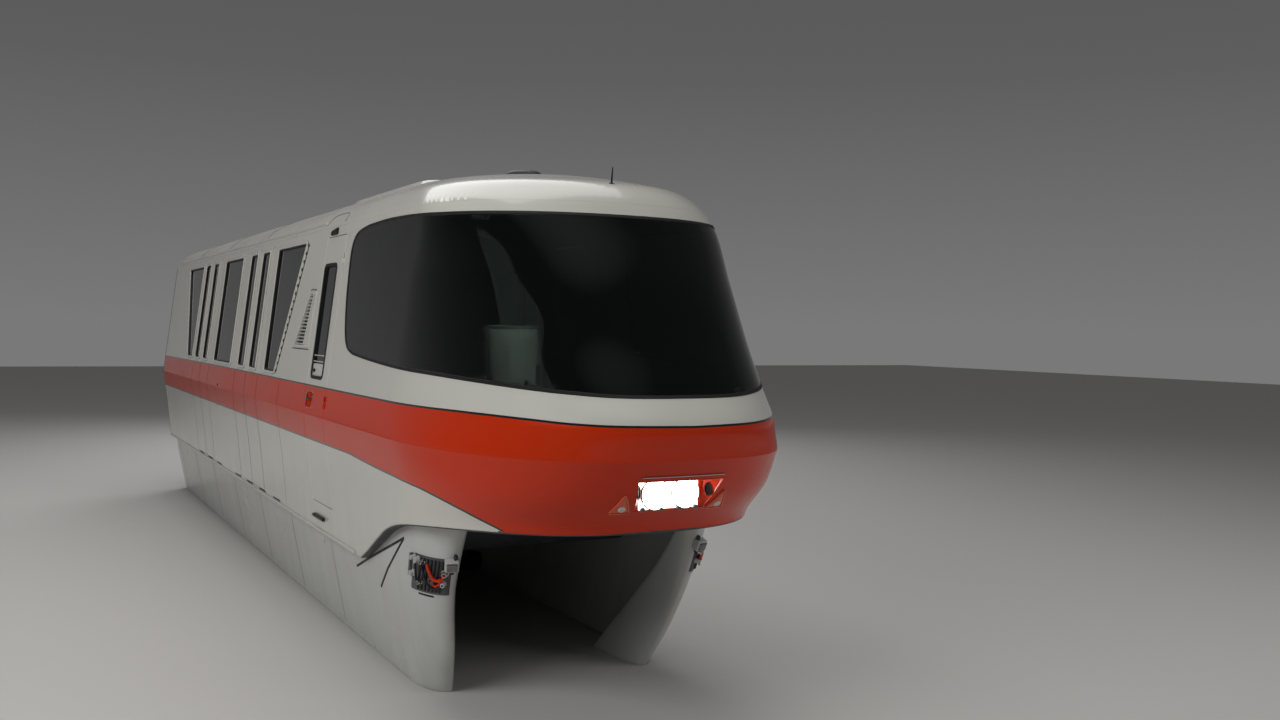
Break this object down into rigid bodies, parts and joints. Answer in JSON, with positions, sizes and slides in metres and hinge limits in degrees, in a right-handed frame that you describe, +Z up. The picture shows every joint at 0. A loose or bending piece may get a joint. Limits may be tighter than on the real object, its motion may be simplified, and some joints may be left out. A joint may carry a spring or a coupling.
{
  "type": "monorail car",
  "caption": "Streamlined lead car of a straddle-beam monorail train: raked windshield, banded body, tinted windows, cab doors, side skirts and swivelling bogies.",
  "frame": {"origin": "on the centre line, halfway along the body, in the plane of the beam's top", "axes": "+X towards the nose, +Y to the car's left, +Z up"},
  "size_m": [14.385, 2.617, 3.9],
  "materials": {
    "shell_paint": "gloss white paint with a red-orange band",
    "skirt_paint": "satin pale grey paint",
    "window_glass": "dark tinted",
    "lamp": "clear lamp lenses",
    "trim": "matte black",
    "bare_steel": "worn steel",
    "bogie_steel": "dark grey paint with road dirt",
    "bellows": "grey-blue rubberised cloth",
    "floor": "grey ribbed covering",
    "inner_panel": "light grey lining",
    "seat_cover": "dark blue covering",
    "tyre": "black rubber"
  },
  "bodies": {
    "car_body": {"nose_shell": "shell_paint", "roof": "shell_paint", "rear_wall": "shell_paint", "windshield": "window_glass", "headlamp_unit": "lamp", "horn_pod": "trim", "gangway_bellows": "bellows", "floor_pan": "floor", "cab_bulkhead": "inner_panel", "driver_desk": "trim", "driver_seat": "seat_cover", "front_bench_cushion": "seat_cover", "middle_bench_cushion": "seat_cover", "rear_bench_cushion": "seat_cover", "side_wall_left": "shell_paint", "skirt_left": "skirt_paint", "front_window_left": "window_glass", "middle_window_left": "window_glass", "rear_window_left": "window_glass", "front_door_fore_leaf_left": "shell_paint", "front_door_aft_leaf_left": "shell_paint", "rear_door_fore_leaf_left": "shell_paint", "rear_door_aft_leaf_left": "shell_paint", "side_wall_right": "shell_paint", "skirt_right": "skirt_paint", "front_window_right": "window_glass", "middle_window_right": "window_glass", "rear_window_right": "window_glass", "front_door_fore_leaf_right": "shell_paint", "front_door_aft_leaf_right": "shell_paint", "rear_door_fore_leaf_right": "shell_paint", "rear_door_aft_leaf_right": "shell_paint"},
    "cab_door_left": {"cab_door_left": "shell_paint", "cab_door_glass_left": "window_glass"},
    "cab_door_right": {"cab_door_right": "shell_paint", "cab_door_glass_right": "window_glass"},
    "drawbar": {"rear_drawbar": "bare_steel"},
    "front_bogie": {"front_bogie_frame": "bogie_steel"},
    "rear_bogie": {"rear_bogie_frame": "bogie_steel"},
    "front_load_wheel": {"front_load_wheel": "tyre"},
    "front_guide_wheel_fore_left": {"front_guide_wheel_fore_left": "tyre"},
    "front_guide_wheel_aft_left": {"front_guide_wheel_aft_left": "tyre"},
    "front_lower_wheel_left": {"front_lower_wheel_left": "tyre"},
    "front_guide_wheel_fore_right": {"front_guide_wheel_fore_right": "tyre"},
    "front_guide_wheel_aft_right": {"front_guide_wheel_aft_right": "tyre"},
    "front_lower_wheel_right": {"front_lower_wheel_right": "tyre"},
    "rear_load_wheel": {"rear_load_wheel": "tyre"},
    "rear_guide_wheel_fore_left": {"rear_guide_wheel_fore_left": "tyre"},
    "rear_guide_wheel_aft_left": {"rear_guide_wheel_aft_left": "tyre"},
    "rear_lower_wheel_left": {"rear_lower_wheel_left": "tyre"},
    "rear_guide_wheel_fore_right": {"rear_guide_wheel_fore_right": "tyre"},
    "rear_guide_wheel_aft_right": {"rear_guide_wheel_aft_right": "tyre"},
    "rear_lower_wheel_right": {"rear_lower_wheel_right": "tyre"}
  },
  "joints": [
    {"name": "cab_door_left_hinge", "type": "hinge", "parent": "car_body", "child": "cab_door_left", "pos_m": [3.197, 1.307, 0.913], "axis": [0, 0.1249, -0.9922], "range_deg": [0, 90]},
    {"name": "cab_door_right_hinge", "type": "hinge", "parent": "car_body", "child": "cab_door_right", "pos_m": [3.197, -1.307, 0.913], "axis": [0, 0.1249, 0.9922], "range_deg": [0, 90]},
    {"name": "drawbar_swing", "type": "hinge", "parent": "car_body", "child": "drawbar", "pos_m": [-7.06, 0, 0.255], "axis": [0, 0, 1], "range_deg": [-12, 12]},
    {"name": "front_bogie_swivel", "type": "hinge", "parent": "car_body", "child": "front_bogie", "pos_m": [1.57, 0, 0.58], "axis": [0, 0, 1], "range_deg": [-4, 4]},
    {"name": "rear_bogie_swivel", "type": "hinge", "parent": "car_body", "child": "rear_bogie", "pos_m": [-5.85, 0, 0.58], "axis": [0, 0, 1], "range_deg": [-4, 4]},
    {"name": "front_load_wheel_spin", "type": "hinge", "parent": "front_bogie", "child": "front_load_wheel", "pos_m": [1.57, 0, 0.42], "axis": [0, 1, 0], "continuous": true},
    {"name": "front_guide_wheel_fore_left_spin", "type": "hinge", "parent": "front_bogie", "child": "front_guide_wheel_fore_left", "pos_m": [2.12, 0.531, -0.15], "axis": [0, 0, 1], "continuous": true},
    {"name": "front_guide_wheel_aft_left_spin", "type": "hinge", "parent": "front_bogie", "child": "front_guide_wheel_aft_left", "pos_m": [1.02, 0.531, -0.15], "axis": [0, 0, 1], "continuous": true},
    {"name": "front_lower_wheel_left_spin", "type": "hinge", "parent": "front_bogie", "child": "front_lower_wheel_left", "pos_m": [1.57, 0.531, -0.7], "axis": [0, 0, 1], "continuous": true},
    {"name": "front_guide_wheel_fore_right_spin", "type": "hinge", "parent": "front_bogie", "child": "front_guide_wheel_fore_right", "pos_m": [2.12, -0.531, -0.15], "axis": [0, 0, 1], "continuous": true},
    {"name": "front_guide_wheel_aft_right_spin", "type": "hinge", "parent": "front_bogie", "child": "front_guide_wheel_aft_right", "pos_m": [1.02, -0.531, -0.15], "axis": [0, 0, 1], "continuous": true},
    {"name": "front_lower_wheel_right_spin", "type": "hinge", "parent": "front_bogie", "child": "front_lower_wheel_right", "pos_m": [1.57, -0.531, -0.7], "axis": [0, 0, 1], "continuous": true},
    {"name": "rear_load_wheel_spin", "type": "hinge", "parent": "rear_bogie", "child": "rear_load_wheel", "pos_m": [-5.85, 0, 0.42], "axis": [0, 1, 0], "continuous": true},
    {"name": "rear_guide_wheel_fore_left_spin", "type": "hinge", "parent": "rear_bogie", "child": "rear_guide_wheel_fore_left", "pos_m": [-5.3, 0.531, -0.15], "axis": [0, 0, 1], "continuous": true},
    {"name": "rear_guide_wheel_aft_left_spin", "type": "hinge", "parent": "rear_bogie", "child": "rear_guide_wheel_aft_left", "pos_m": [-6.4, 0.531, -0.15], "axis": [0, 0, 1], "continuous": true},
    {"name": "rear_lower_wheel_left_spin", "type": "hinge", "parent": "rear_bogie", "child": "rear_lower_wheel_left", "pos_m": [-5.85, 0.531, -0.7], "axis": [0, 0, 1], "continuous": true},
    {"name": "rear_guide_wheel_fore_right_spin", "type": "hinge", "parent": "rear_bogie", "child": "rear_guide_wheel_fore_right", "pos_m": [-5.3, -0.531, -0.15], "axis": [0, 0, 1], "continuous": true},
    {"name": "rear_guide_wheel_aft_right_spin", "type": "hinge", "parent": "rear_bogie", "child": "rear_guide_wheel_aft_right", "pos_m": [-6.4, -0.531, -0.15], "axis": [0, 0, 1], "continuous": true},
    {"name": "rear_lower_wheel_right_spin", "type": "hinge", "parent": "rear_bogie", "child": "rear_lower_wheel_right", "pos_m": [-5.85, -0.531, -0.7], "axis": [0, 0, 1], "continuous": true}
  ]
}
